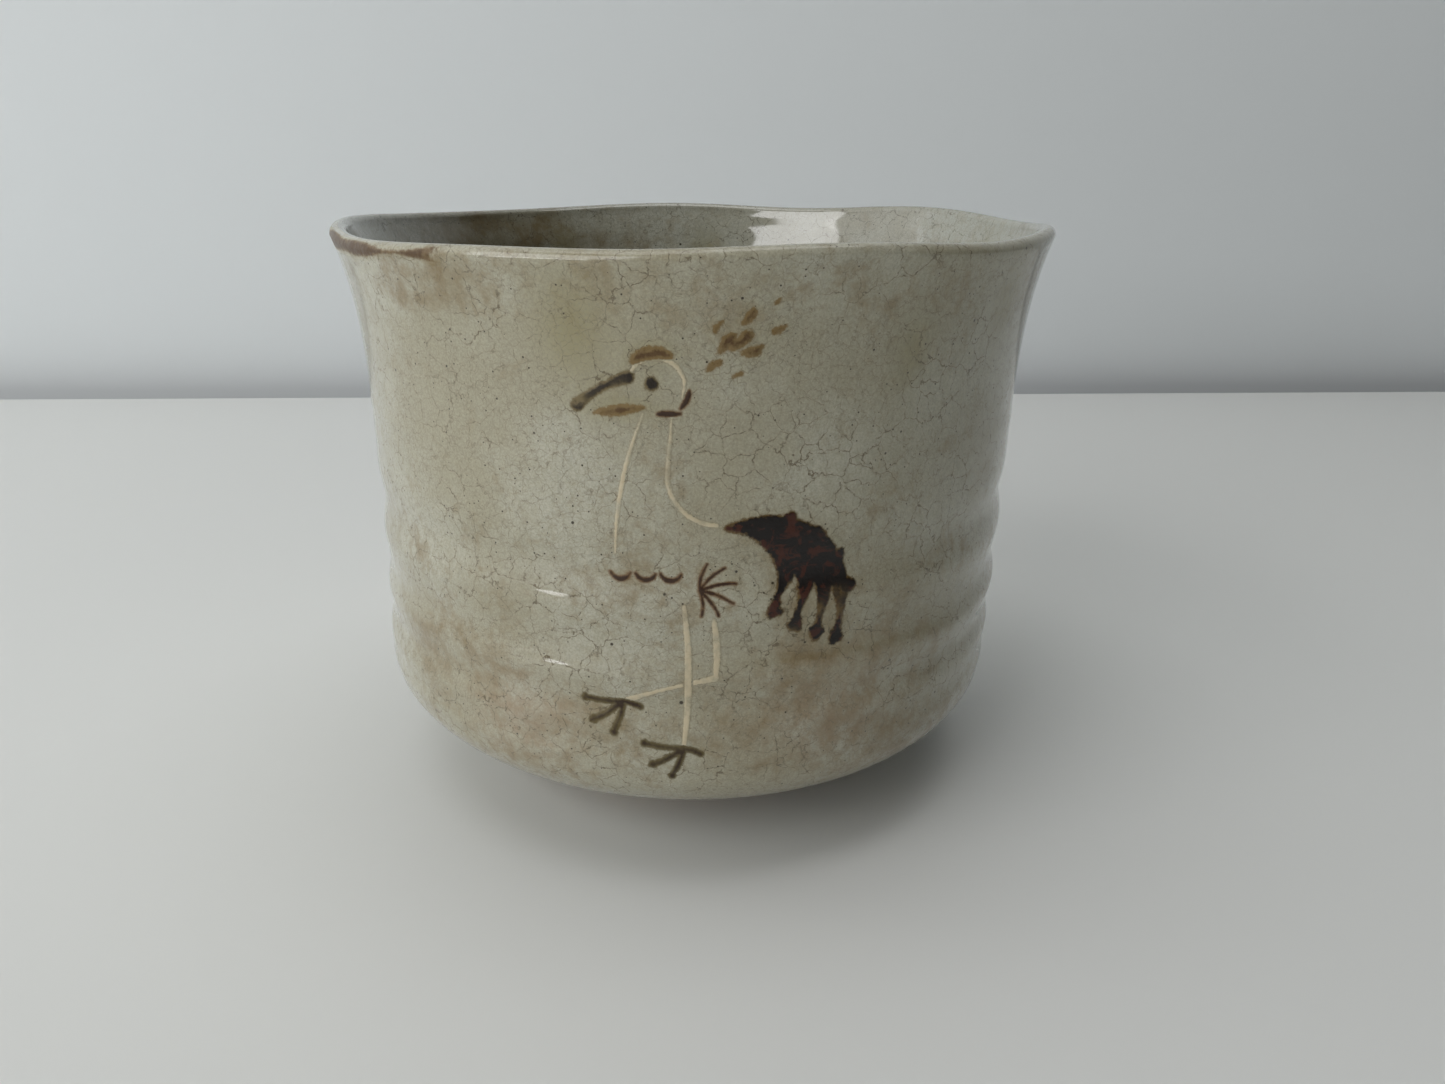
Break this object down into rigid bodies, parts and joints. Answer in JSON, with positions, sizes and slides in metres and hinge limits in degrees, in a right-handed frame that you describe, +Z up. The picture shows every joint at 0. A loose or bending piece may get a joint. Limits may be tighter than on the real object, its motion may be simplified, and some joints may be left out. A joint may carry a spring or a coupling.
{
  "type": "tea bowl",
  "caption": "Half-cylinder stoneware tea bowl with a flared, softly uneven rim, finger grooves, a turned foot ring and a crane painted on its front in slip and iron.",
  "frame": {"origin": "centre of the foot ring's flat, on the surface that the bowl stands on", "axes": "+Z up along the bowl's axis, -Y towards the painted front, +X to the right of it"},
  "size_m": [0.113, 0.113, 0.092],
  "materials": {
    "clay": "bare fired stoneware, matt",
    "outer_glaze": "clear grey-cream crackled glaze, satin gloss",
    "inner_glaze": "clear grey glaze, glossy",
    "cream_slip": "raised cream slip under glaze, satin gloss",
    "dark_iron": "thick dark brown iron oxide, glossy",
    "iron_wash": "thin orange-brown iron oxide, satin gloss"
  },
  "bodies": {
    "root": {"clay_body": "clay", "foot_ring": "clay", "outer_glaze": "outer_glaze", "inner_glaze": "inner_glaze", "rim_iron_line": "iron_wash", "head_outline": "cream_slip", "neck_front_line": "cream_slip", "neck_back_line": "cream_slip", "standing_leg_line": "cream_slip", "bent_leg_line": "cream_slip", "beak_stroke": "dark_iron", "beak_wash": "iron_wash", "crown_patch": "iron_wash", "eye_dot": "dark_iron", "nape_stroke": "dark_iron", "cloud_marks": "iron_wash", "tail_plumes": "dark_iron", "breast_stroke": "dark_iron", "thigh_stroke": "dark_iron", "raised_foot": "dark_iron", "standing_foot": "dark_iron"}
  },
  "joints": []
}
